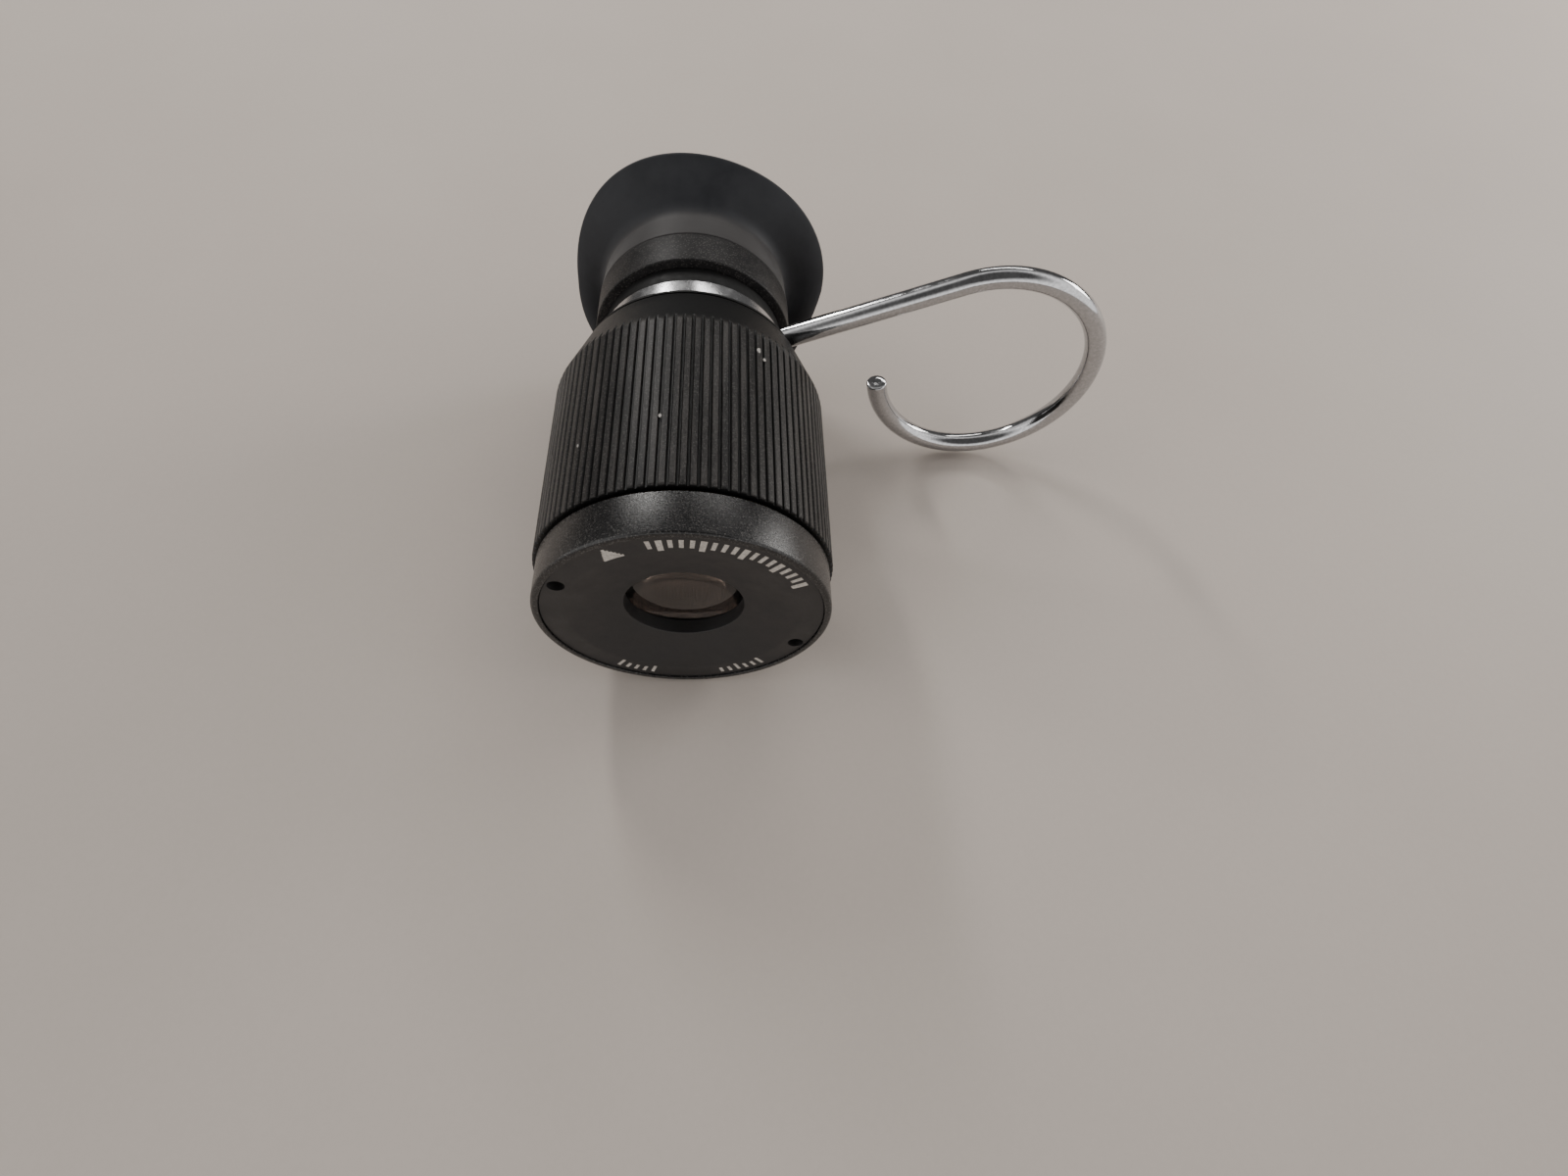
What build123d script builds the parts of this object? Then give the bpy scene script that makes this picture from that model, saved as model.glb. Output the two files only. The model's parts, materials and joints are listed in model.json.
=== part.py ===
"""Pocket monocular with a knurled focusing sleeve and a wire finger ring.

The optical axis is the Y axis: the objective looks along -Y and the eye is at +Y. Z is up and the
finger ring stands out towards +X. The origin is on the axis, at the middle of the smooth front band.
"""

from build123d import *
import math
import os

os.makedirs("parts", exist_ok=True)

# ---------------------------------------------------------------- driving dimensions, mm and degrees
RUN = 0.05  # radial clearance of a running fit
SEAT = 0.02  # clearance between pieces that are fixed to each other

BAND_R = 15.0  # smooth front band of the objective tube
BAND_LENGTH = 4.6
RIM_CHAMFER = 0.35
BAND_REAR_CHAMFER = 0.12
RIM_INNER_R = 14.24
FRONT_Y = -BAND_LENGTH / 2
BAND_REAR_Y = BAND_LENGTH / 2

KNURL_R = 15.4  # crest of the ribs
RIB_DEPTH = 0.32
RIB_COUNT = 102
RIB_GROOVE_SHARE = 0.4  # groove width as a share of the pitch
SLEEVE_FRONT_Y = 2.7
KNURL_END_Y = 24.1
SLEEVE_REAR_Y = 30.6
SLEEVE_REAR_R = 13.2

BARREL_R = 13.6  # fixed barrel, inside the sleeve
BARREL_BORE_R = 12.35
BARREL_FRONT_Y = 3.0
LOCK_SEAT_R = 13.0
LOCK_RING_R = 14.3
LOCK_RING_REAR_Y = 4.4
THRUST_Y = 22.8  # step that the sleeve's inner shoulder runs against
THRUST_GAP = 0.2
SEAL_Y = 18.0
JOURNAL_R = 12.05
PRISM_BORE_R = 10.9
PRISM_BORE_Y = 21.8
SHOULDER_Y = 30.9
HUB_SEAT_R = 10.5
EYEPIECE_BORE_R = 9.4
EYEPIECE_BORE_Y = 29.6
BARREL_REAR_Y = 37.5

FOCUS_LEAD = 8.0  # travel of the objective for one turn of the sleeve
FOCUS_BACK_DEG = 8.0
FOCUS_OUT_DEG = 262.0
TRACK_MARGIN_DEG = 5.0
PIN_Y = 11.4
PIN_R = 0.6
PIN_REACH = 13.7  # distance from the axis to the centre of the pin's round tip
TRACK_R = 0.7  # half width of the helical tracks and of the straight slots

TUBE_R = BARREL_BORE_R - RUN
TUBE_BORE_R = 10.6
TUBE_REAR_Y = 13.9

LENS_R = 7.0
CELL_BOSS_R = 8.3
CELL_REAR_Y = 4.4
CELL_LIP = 0.8
PLATE_R = 14.2
PLATE_FRONT_Y = FRONT_Y + 0.2
PLATE_REAR_Y = -0.2
PLATE_LIP_Y = 0.8  # the front plate's inner lip ends here, on the lens
APERTURE_R = 6.1
DISH_R = 11.8
DISH_DEPTH = 1.35
SPANNER_HOLE_R = 0.85
SPANNER_CIRCLE_R = 13.1
SPANNER_ANGLE = 153.5
SPANNER_DEPTH = 1.2

PRISM_APERTURE = 7.4
PRISM_WIDTH = 7.8
PRISM_FRONT_Y = 17.2
PRISM_GAP = 0.15
CAGE_FRONT_Y = 16.9
CAGE_REAR_Y = 29.2
CLAMP_FRONT_Y = 16.1
CLAMP_SCREW_X = 8.2

WIRE_R = 1.28
LOOP_R = 13.76  # centre line of the finger loop
LOOP_ARC = 200.0
TAIL_R = 13.2  # the loop closes in a little before its cut end
TAIL_ARC = 84.0
STEM_REACH = 33.6  # from the optical axis to the point where the stem meets the loop
STEM_TILT = 22.6  # degrees above horizontal
WIRE_Y = 33.5
HUB_R = 11.3
HUB_FRONT_Y = 31.2
HUB_REAR_Y = 35.2
HUB_LOCK_R = 11.0

EYE_BAND_R = 12.05
EYE_BAND_FRONT_Y = 37.7
EYE_BAND_REAR_Y = 42.3
EYE_NECK_Y = 33.0
EYE_BOSS_R = 10.8
EYE_BOSS_REAR_Y = 46.9
EYE_BORE_R = 7.6
EYE_BORE_FRONT_Y = 34.0
EYE_LENS_R = 7.5

CUP_WAIST = (11.6, 47.4)
CUP_RIM = (16.25, 51.15)
CUP_RIM_REAR = (15.75, 52.0)
CUP_THROAT = (10.9, 48.6)
CUP_MOUTH_R = 9.4


# ------------------------------------------------------------------------------------- small helpers
def turned(points, mode=Mode.ADD):
    """Solid of revolution about the optical axis from (radius, y) points."""
    with BuildSketch(Plane.XY) as section:
        Polygon(*points, align=None)
    revolve(section.sketch, axis=Axis.Y, mode=mode)


def tube(inner_r, outer_r, front_y, rear_y, mode=Mode.ADD):
    """Plain ring about the optical axis."""
    turned([(inner_r, front_y), (outer_r, front_y), (outer_r, rear_y), (inner_r, rear_y)], mode)


def across(y):
    """Plane square to the optical axis: its X is +X, its Y is +Z, and it faces the front."""
    return Plane(origin=(0, y, 0), x_dir=(1, 0, 0), z_dir=(0, -1, 0))


def near(section, point):
    """The corner of a sketch that lies at a point, as a list of one vertex."""
    return section.vertices().sort_by_distance((*point, 0))[:1]


def save(part, name):
    part.label = name
    export_step(part, f"parts/{name}.step")


# ----------------------------------------------------------------------------------- objective group
with BuildPart() as objective_tube:
    turned(
        [
            (RIM_INNER_R, FRONT_Y),
            (BAND_R - RIM_CHAMFER, FRONT_Y),
            (BAND_R, FRONT_Y + RIM_CHAMFER),
            (BAND_R, BAND_REAR_Y - BAND_REAR_CHAMFER),
            (BAND_R - BAND_REAR_CHAMFER, BAND_REAR_Y),
            (TUBE_R, BAND_REAR_Y),
            (TUBE_R, TUBE_REAR_Y),
            (TUBE_BORE_R, TUBE_REAR_Y),
            (TUBE_BORE_R, BAND_REAR_Y),
            (CELL_BOSS_R, BAND_REAR_Y),
            (CELL_BOSS_R, CELL_REAR_Y + CELL_LIP),
            (APERTURE_R, CELL_REAR_Y + CELL_LIP),
            (APERTURE_R, CELL_REAR_Y),
            (LENS_R + RUN, CELL_REAR_Y),
            (LENS_R + RUN, PLATE_REAR_Y),
            (RIM_INNER_R, PLATE_REAR_Y),
        ]
    )
    with BuildSketch(Plane.YZ):
        with Locations((PIN_Y, 0)):
            Circle(PIN_R + SEAT)
    extrude(amount=BAND_R, both=True, mode=Mode.SUBTRACT)
save(objective_tube.part, "objective_tube")

PLATE_LIP_R = LENS_R - SEAT
with BuildPart() as front_plate:
    turned(
        [
            (DISH_R, PLATE_FRONT_Y),
            (PLATE_R, PLATE_FRONT_Y),
            (PLATE_R, PLATE_REAR_Y - SEAT),
            (PLATE_LIP_R, PLATE_REAR_Y - SEAT),
            (PLATE_LIP_R, PLATE_LIP_Y),
            (APERTURE_R, PLATE_LIP_Y),
            (APERTURE_R, PLATE_FRONT_Y + DISH_DEPTH),
        ]
    )
    with BuildSketch(across(PLATE_FRONT_Y)):
        with PolarLocations(SPANNER_CIRCLE_R, 2, start_angle=SPANNER_ANGLE):
            Circle(SPANNER_HOLE_R)
    extrude(amount=-SPANNER_DEPTH, mode=Mode.SUBTRACT)
save(front_plate.part, "front_plate")

with BuildPart() as guide_pins:
    with BuildSketch(Plane.YZ.offset(TUBE_BORE_R + RUN)):
        with Locations((PIN_Y, 0)):
            Circle(PIN_R)
    extrude(amount=PIN_REACH - TUBE_BORE_R - RUN)
    with Locations((PIN_REACH, PIN_Y, 0)):
        Sphere(PIN_R)
    mirror(about=Plane.YZ)
save(guide_pins.part, "guide_pins")


# -------------------------------------------------------------------------------------------- lenses
def depth_at(curve_r, radius):
    """How far a spherical surface has moved along +Y at a radius. A curve_r of 0 is a plane."""
    if curve_r == 0:
        return 0
    return math.copysign(abs(curve_r) - math.sqrt(curve_r**2 - radius**2), curve_r)


def lens(outer_r, front_y, front_curve_r, rear_y, rear_curve_r):
    """Round lens. A curve radius is positive where the surface's centre lies behind it, at +Y."""
    front_edge = (outer_r, front_y + depth_at(front_curve_r, outer_r))
    rear_edge = (outer_r, rear_y + depth_at(rear_curve_r, outer_r))
    middle = outer_r / 2
    with BuildPart() as glass:
        with BuildSketch(Plane.XY):
            with BuildLine():
                if front_curve_r:
                    through = (middle, front_y + depth_at(front_curve_r, middle))
                    ThreePointArc((0, front_y), through, front_edge)
                else:
                    Line((0, front_y), front_edge)
                Line(front_edge, rear_edge)
                if rear_curve_r:
                    through = (middle, rear_y + depth_at(rear_curve_r, middle))
                    ThreePointArc(rear_edge, through, (0, rear_y))
                else:
                    Line(rear_edge, (0, rear_y))
                Line((0, rear_y), (0, front_y))
            make_face()
        revolve(axis=Axis.Y)
    return glass.part


CEMENT = 0.01
OBJECTIVE_CURVES = (30.0, -22.0)
CROWN_FRONT_Y = 0.2
CROWN_REAR_Y = 3.15
save(
    lens(LENS_R, CROWN_FRONT_Y, OBJECTIVE_CURVES[0], CROWN_REAR_Y, OBJECTIVE_CURVES[1]),
    "objective_crown_lens",
)
save(
    lens(LENS_R, CROWN_REAR_Y + CEMENT, OBJECTIVE_CURVES[1], CELL_REAR_Y - SEAT, 0),
    "objective_flint_lens",
)


# -------------------------------------------------------------------------------------- focus sleeve
SLEEVE_BORE_R = BARREL_R + RUN
JOURNAL_BORE_R = JOURNAL_R + RUN
COUNTERBORE_R = LOCK_RING_R + 0.1
COUNTERBORE_Y = LOCK_RING_REAR_Y + 0.3
SLEEVE_FRONT_CHAMFER = 0.15
SLEEVE_REAR_CHAMFER = 0.25
RIB_PITCH = 2 * math.pi * KNURL_R / RIB_COUNT
TRACK_START_DEG = FOCUS_BACK_DEG + TRACK_MARGIN_DEG
TRACK_DEG = TRACK_START_DEG + FOCUS_OUT_DEG + TRACK_MARGIN_DEG
TRACK_REAR_Y = PIN_Y + FOCUS_LEAD * TRACK_START_DEG / 360

# Round-bottomed helical channel for one guide pin, built about its own Z axis.
with BuildPart() as focus_track:
    with BuildLine() as track_line:
        Helix(pitch=FOCUS_LEAD, height=FOCUS_LEAD * TRACK_DEG / 360, radius=PIN_REACH)
    with BuildSketch(Plane(track_line.line @ 0, x_dir=(1, 0, 0), z_dir=track_line.line % 0)):
        Circle(TRACK_R)
    sweep(path=track_line.line, is_frenet=True)

with BuildPart() as focus_sleeve:
    turned(
        [
            (COUNTERBORE_R, SLEEVE_FRONT_Y),
            (KNURL_R - SLEEVE_FRONT_CHAMFER, SLEEVE_FRONT_Y),
            (KNURL_R, SLEEVE_FRONT_Y + SLEEVE_FRONT_CHAMFER),
            (KNURL_R, KNURL_END_Y),
            (SLEEVE_REAR_R, SLEEVE_REAR_Y - SLEEVE_REAR_CHAMFER),
            (SLEEVE_REAR_R - SLEEVE_REAR_CHAMFER, SLEEVE_REAR_Y),
            (JOURNAL_BORE_R, SLEEVE_REAR_Y),
            (JOURNAL_BORE_R, THRUST_Y + THRUST_GAP),
            (SLEEVE_BORE_R, THRUST_Y + THRUST_GAP),
            (SLEEVE_BORE_R, COUNTERBORE_Y),
            (COUNTERBORE_R, COUNTERBORE_Y),
        ]
    )
    with BuildSketch(across(SLEEVE_FRONT_Y)):
        with PolarLocations(KNURL_R, RIB_COUNT):
            Rectangle(2 * RIB_DEPTH, RIB_GROOVE_SHARE * RIB_PITCH)
    extrude(amount=SLEEVE_FRONT_Y - SLEEVE_REAR_Y, mode=Mode.SUBTRACT)
    with Locations(
        Location((0, TRACK_REAR_Y, 0), (90, 0, -TRACK_START_DEG)),
        Location((0, TRACK_REAR_Y, 0), (90, 0, 180 - TRACK_START_DEG)),
    ):
        add(focus_track.part, mode=Mode.SUBTRACT)
save(focus_sleeve.part, "focus_sleeve")


# -------------------------------------------------------------------------------------- fixed barrel
SLOT_FRONT_Y = PIN_Y - FOCUS_LEAD * (FOCUS_OUT_DEG + TRACK_MARGIN_DEG) / 360
SEAL_WIRE_R = 0.42
SEAL_R = 13.19
SEAL_GROOVE_R = SEAL_R - SEAL_WIRE_R - SEAT
SEAL_GROOVE_HALF = 0.52

with BuildPart() as barrel:
    turned(
        [
            (LOCK_SEAT_R, BARREL_FRONT_Y),
            (LOCK_SEAT_R, LOCK_RING_REAR_Y),
            (BARREL_R, LOCK_RING_REAR_Y),
            (BARREL_R, SEAL_Y - SEAL_GROOVE_HALF),
            (SEAL_GROOVE_R, SEAL_Y - SEAL_GROOVE_HALF),
            (SEAL_GROOVE_R, SEAL_Y + SEAL_GROOVE_HALF),
            (BARREL_R, SEAL_Y + SEAL_GROOVE_HALF),
            (BARREL_R, THRUST_Y),
            (JOURNAL_R, THRUST_Y),
            (JOURNAL_R, SHOULDER_Y),
            (HUB_SEAT_R, SHOULDER_Y),
            (HUB_SEAT_R, BARREL_REAR_Y),
            (EYEPIECE_BORE_R, BARREL_REAR_Y),
            (EYEPIECE_BORE_R, EYEPIECE_BORE_Y),
            (PRISM_BORE_R, EYEPIECE_BORE_Y),
            (PRISM_BORE_R, PRISM_BORE_Y),
            (BARREL_BORE_R, PRISM_BORE_Y),
            (BARREL_BORE_R, BARREL_FRONT_Y),
        ]
    )
    with BuildSketch(Plane.YZ):
        with Locations(((SLOT_FRONT_Y + TRACK_REAR_Y) / 2, 0)):
            SlotCenterToCenter(TRACK_REAR_Y - SLOT_FRONT_Y, 2 * TRACK_R)
    extrude(amount=BAND_R, both=True, mode=Mode.SUBTRACT)
save(barrel.part, "barrel")

SPANNER_SLOT = (0.8, 0.6)  # width and depth of the lock ring's two spanner slots
with BuildPart() as sleeve_lock_ring:
    tube(LOCK_SEAT_R + SEAT, LOCK_RING_R, BARREL_FRONT_Y, LOCK_RING_REAR_Y - SEAT)
    with BuildSketch(across(BARREL_FRONT_Y)):
        Rectangle(2 * BAND_R, SPANNER_SLOT[0])
    extrude(amount=-SPANNER_SLOT[1], mode=Mode.SUBTRACT)
save(sleeve_lock_ring.part, "sleeve_lock_ring")

with BuildPart() as sleeve_seal:
    with BuildSketch(Plane.XY):
        with Locations((SEAL_R, SEAL_Y)):
            Circle(SEAL_WIRE_R)
    revolve(axis=Axis.Y)
save(sleeve_seal.part, "sleeve_seal")


# --------------------------------------------------------------------------------------- prism group
PAIR_LENGTH = (0.5 + math.sqrt(0.5)) * PRISM_APERTURE
HALF = PRISM_APERTURE / 2
LOW_Z = HALF - PAIR_LENGTH
ROOF_SLOPE = 22.5
ROOF_RISE = PRISM_WIDTH / 4

# Helper prism: upright entry face, 45 degree exit face and a mirrored base sloping at 22.5 degrees.
with BuildPart() as helper_prism:
    with BuildSketch(Plane.YZ):
        Polygon(
            (PRISM_FRONT_Y, HALF),
            (PRISM_FRONT_Y + PAIR_LENGTH, LOW_Z),
            (PRISM_FRONT_Y + PAIR_LENGTH, -PRISM_APERTURE),
            (PRISM_FRONT_Y, -HALF),
            align=None,
        )
    extrude(amount=PRISM_WIDTH / 2, both=True)
save(helper_prism.part, "helper_prism")

ROOF_FRONT_Y = PRISM_FRONT_Y + PRISM_GAP
ROOF_REAR_Y = ROOF_FRONT_Y + PAIR_LENGTH
RIDGE_LIFT = ROOF_RISE / math.cos(math.radians(ROOF_SLOPE))
roof_frame = Plane(
    origin=(0, ROOF_FRONT_Y, HALF + RIDGE_LIFT),
    x_dir=(1, 0, 0),
    z_dir=(0, math.cos(math.radians(ROOF_SLOPE)), math.sin(math.radians(ROOF_SLOPE))),
)
# Roof prism: 45 degree wedge between its entry and exit faces, with a right-angled roof on top.
with BuildPart() as roof_prism:
    with BuildSketch(Plane.YZ):
        Polygon(
            (ROOF_FRONT_Y, HALF),
            (ROOF_REAR_Y, LOW_Z),
            (ROOF_REAR_Y, PRISM_APERTURE + RIDGE_LIFT),
            (ROOF_FRONT_Y, HALF + RIDGE_LIFT),
            align=None,
        )
    extrude(amount=PRISM_WIDTH / 2, both=True)
    with BuildSketch(roof_frame):
        Polygon((0, 0), (PRISM_WIDTH, 0), (PRISM_WIDTH, PRISM_WIDTH), align=None)
        mirror(about=Plane.YZ)
    extrude(amount=2 * PAIR_LENGTH, both=True, mode=Mode.SUBTRACT)
save(roof_prism.part, "roof_prism")

POCKET_WIDTH = PRISM_WIDTH + 2 * SEAT
POCKET_REAR_Y = ROOF_REAR_Y + RUN
POCKET_TOP_Z = PRISM_APERTURE + RIDGE_LIFT + RUN
POCKET_LOW_Z = -PRISM_APERTURE - RUN
CAGE_HEAD_R = BARREL_BORE_R - SEAT
CAGE_TAIL_R = PRISM_BORE_R - SEAT
CLAMP_REAR_Y = CAGE_FRONT_Y - SEAT
CLAMP_WINDOW = 6.84
SCREW_R = 0.75
SCREW_HEAD_R = 1.3
SCREW_HEAD_HEIGHT = 0.9
SCREW_REAR_Y = 20.0
SCREW_SLOT = (0.35, 0.4)  # width and depth
SCREW_TURN = 40.0
LIGHT_R = 4.1

with BuildPart() as prism_cage:
    tube(0, CAGE_HEAD_R, CAGE_FRONT_Y, PRISM_BORE_Y - SEAT)
    tube(0, CAGE_TAIL_R, PRISM_BORE_Y - SEAT, CAGE_REAR_Y)
    with BuildSketch(across(CAGE_FRONT_Y)):
        with Locations((0, (POCKET_TOP_Z + POCKET_LOW_Z) / 2)):
            Rectangle(POCKET_WIDTH, POCKET_TOP_Z - POCKET_LOW_Z)
    extrude(amount=CAGE_FRONT_Y - POCKET_REAR_Y, mode=Mode.SUBTRACT)
    tube(0, LIGHT_R, POCKET_REAR_Y, CAGE_REAR_Y, mode=Mode.SUBTRACT)
    with BuildSketch(across(CAGE_FRONT_Y)):
        with Locations((CLAMP_SCREW_X, 0), (-CLAMP_SCREW_X, 0)):
            Circle(SCREW_R + SEAT)
    extrude(amount=CAGE_FRONT_Y - SCREW_REAR_Y - RUN, mode=Mode.SUBTRACT)
save(prism_cage.part, "prism_cage")

with BuildPart() as prism_clamp:
    with BuildSketch(across(CLAMP_FRONT_Y)):
        Circle(CAGE_HEAD_R)
        Rectangle(CLAMP_WINDOW, CLAMP_WINDOW, mode=Mode.SUBTRACT)
        with Locations((CLAMP_SCREW_X, 0), (-CLAMP_SCREW_X, 0)):
            Circle(SCREW_R + SEAT, mode=Mode.SUBTRACT)
    extrude(amount=CLAMP_FRONT_Y - CLAMP_REAR_Y)
save(prism_clamp.part, "prism_clamp")

SCREW_HEAD_Y = CLAMP_FRONT_Y - SEAT
with BuildPart() as clamp_screws:
    with BuildSketch(across(SCREW_HEAD_Y)):
        with Locations((CLAMP_SCREW_X, 0), (-CLAMP_SCREW_X, 0)):
            Circle(SCREW_HEAD_R)
    extrude(amount=SCREW_HEAD_HEIGHT)
    with BuildSketch(across(SCREW_HEAD_Y)):
        with Locations((CLAMP_SCREW_X, 0), (-CLAMP_SCREW_X, 0)):
            Circle(SCREW_R)
    extrude(amount=SCREW_HEAD_Y - SCREW_REAR_Y)
    with BuildSketch(across(SCREW_HEAD_Y - SCREW_HEAD_HEIGHT)):
        with Locations((CLAMP_SCREW_X, 0), (-CLAMP_SCREW_X, 0)):
            Rectangle(3 * SCREW_HEAD_R, SCREW_SLOT[0], rotation=SCREW_TURN)
    extrude(amount=-SCREW_SLOT[1], mode=Mode.SUBTRACT)
save(clamp_screws.part, "clamp_screws")

CAGE_LOCK_FRONT_Y = 14.6
CAGE_LOCK_BORE_R = 10.2
with BuildPart() as cage_lock_ring:
    tube(CAGE_LOCK_BORE_R, CAGE_HEAD_R, CAGE_LOCK_FRONT_Y, CLAMP_FRONT_Y - SEAT)
save(cage_lock_ring.part, "cage_lock_ring")

FIELD_STOP_FRONT_Y = 30.2
FIELD_STOP_REAR_Y = 31.0
FIELD_STOP_HOLE_R = 3.6
FIELD_STOP_BEVEL = 1.0
with BuildPart() as field_stop:
    turned(
        [
            (FIELD_STOP_HOLE_R, FIELD_STOP_FRONT_Y),
            (EYEPIECE_BORE_R - SEAT, FIELD_STOP_FRONT_Y),
            (EYEPIECE_BORE_R - SEAT, FIELD_STOP_REAR_Y),
            (FIELD_STOP_HOLE_R + FIELD_STOP_BEVEL, FIELD_STOP_REAR_Y),
        ]
    )
save(field_stop.part, "field_stop")


# --------------------------------------------------------------------------------------- finger ring
stem_way = (math.cos(math.radians(STEM_TILT)), math.sin(math.radians(STEM_TILT)))
HUB_BORE_R = HUB_SEAT_R + RUN
STEM_ROOT_R = HUB_BORE_R + 0.1  # the stem stops just short of the hub's bore
HUB_CHAMFER = 0.2
WASHER_R = 13.0
ring_frame = Plane(origin=(0, WIRE_Y, 0), x_dir=(stem_way[0], 0, stem_way[1]), z_dir=(0, -1, 0))

# In the ring's own plane the stem runs along X, and the loop turns below it, back towards the hub.
tail_turn = math.radians(90 - LOOP_ARC)
tail_centre = (
    STEM_REACH + (LOOP_R - TAIL_R) * math.cos(tail_turn),
    -LOOP_R + (LOOP_R - TAIL_R) * math.sin(tail_turn),
)
with BuildPart() as finger_ring_wire:
    with BuildLine(ring_frame) as wire_line:
        Line((STEM_ROOT_R, 0), (STEM_REACH, 0))
        CenterArc((STEM_REACH, -LOOP_R), LOOP_R, start_angle=90, arc_size=-LOOP_ARC)
        CenterArc(tail_centre, TAIL_R, start_angle=90 - LOOP_ARC, arc_size=-TAIL_ARC)
    with BuildSketch(Plane(wire_line.line @ 0, z_dir=wire_line.line % 0)):
        Circle(WIRE_R)
    sweep(path=wire_line.line)
save(finger_ring_wire.part, "finger_ring_wire")

with BuildPart() as finger_ring_hub:
    turned(
        [
            (HUB_BORE_R, HUB_FRONT_Y),
            (HUB_R - HUB_CHAMFER, HUB_FRONT_Y),
            (HUB_R, HUB_FRONT_Y + HUB_CHAMFER),
            (HUB_R, HUB_REAR_Y - HUB_CHAMFER),
            (HUB_R - HUB_CHAMFER, HUB_REAR_Y),
            (HUB_BORE_R, HUB_REAR_Y),
        ]
    )
    with BuildSketch(Plane(origin=(0, WIRE_Y, 0), z_dir=(stem_way[0], 0, stem_way[1]))):
        Circle(WIRE_R + SEAT)
    extrude(amount=BAND_R, mode=Mode.SUBTRACT)
save(finger_ring_hub.part, "finger_ring_hub")

with BuildPart() as hub_washer:
    tube(HUB_SEAT_R + RUN, WASHER_R, SHOULDER_Y + SEAT, HUB_FRONT_Y - SEAT)
save(hub_washer.part, "hub_washer")

with BuildPart() as hub_lock_ring:
    tube(HUB_SEAT_R + SEAT, HUB_LOCK_R, HUB_REAR_Y + RUN, BARREL_REAR_Y)
save(hub_lock_ring.part, "hub_lock_ring")


# ------------------------------------------------------------------------------------------ eyepiece
EYE_BAND_CHAMFER = 0.15
EYE_LIP_R = 6.2
CUP_GROOVE = (43.4, 44.9, 10.3)  # front, rear and floor radius of the groove that holds the eyecup

with BuildPart() as eyepiece_housing:
    turned(
        [
            (EYE_LIP_R, EYE_NECK_Y),
            (EYEPIECE_BORE_R - SEAT, EYE_NECK_Y),
            (EYEPIECE_BORE_R - SEAT, EYE_BAND_FRONT_Y),
            (EYE_BAND_R - EYE_BAND_CHAMFER, EYE_BAND_FRONT_Y),
            (EYE_BAND_R, EYE_BAND_FRONT_Y + EYE_BAND_CHAMFER),
            (EYE_BAND_R, EYE_BAND_REAR_Y),
            (EYE_BOSS_R, EYE_BAND_REAR_Y),
            (EYE_BOSS_R, CUP_GROOVE[0]),
            (CUP_GROOVE[2], CUP_GROOVE[0]),
            (CUP_GROOVE[2], CUP_GROOVE[1]),
            (EYE_BOSS_R, CUP_GROOVE[1]),
            (EYE_BOSS_R, EYE_BOSS_REAR_Y),
            (EYE_BORE_R, EYE_BOSS_REAR_Y),
            (EYE_BORE_R, EYE_BORE_FRONT_Y),
            (EYE_LIP_R, EYE_BORE_FRONT_Y),
        ]
    )
save(eyepiece_housing.part, "eyepiece_housing")

FIELD_LENS_CURVE_R = -14.0
FIELD_LENS_REAR_Y = 37.2
EYE_CURVES = (15.0, -18.0)
EYE_FLINT_FRONT_Y = 41.3
EYE_CROWN_FRONT_Y = 42.1
EYE_CROWN_REAR_Y = 46.3
SPACER_BORE_R = 6.7


def field_rear_y(radius):
    """Rear surface of the field lens, with the clearance of a piece seated on it."""
    return FIELD_LENS_REAR_Y + depth_at(FIELD_LENS_CURVE_R, radius) + SEAT


def crown_rear_y(radius):
    """Rear surface of the eye crown lens, with the clearance of a piece seated on it."""
    return EYE_CROWN_REAR_Y + depth_at(EYE_CURVES[1], radius) + SEAT


save(
    lens(EYE_LENS_R, EYE_BORE_FRONT_Y + SEAT, 0, FIELD_LENS_REAR_Y, FIELD_LENS_CURVE_R),
    "field_lens",
)
save(
    lens(EYE_LENS_R, EYE_FLINT_FRONT_Y, 0, EYE_CROWN_FRONT_Y, EYE_CURVES[0]),
    "eye_flint_lens",
)
save(
    lens(
        EYE_LENS_R, EYE_CROWN_FRONT_Y + CEMENT, EYE_CURVES[0], EYE_CROWN_REAR_Y, EYE_CURVES[1]
    ),
    "eye_crown_lens",
)

with BuildPart() as eyepiece_spacer:
    turned(
        [
            (SPACER_BORE_R, field_rear_y(SPACER_BORE_R)),
            (EYE_LENS_R, field_rear_y(EYE_LENS_R)),
            (EYE_LENS_R, EYE_FLINT_FRONT_Y - SEAT),
            (SPACER_BORE_R, EYE_FLINT_FRONT_Y - SEAT),
        ]
    )
save(eyepiece_spacer.part, "eyepiece_spacer")

RETAINER_REAR_Y = 46.7
with BuildPart() as eyepiece_retainer:
    turned(
        [
            (SPACER_BORE_R, crown_rear_y(SPACER_BORE_R)),
            (EYE_LENS_R, crown_rear_y(EYE_LENS_R)),
            (EYE_BORE_R - SEAT, crown_rear_y(EYE_LENS_R)),
            (EYE_BORE_R - SEAT, RETAINER_REAR_Y),
            (SPACER_BORE_R, RETAINER_REAR_Y),
        ]
    )
save(eyepiece_retainer.part, "eyepiece_retainer")

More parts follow.
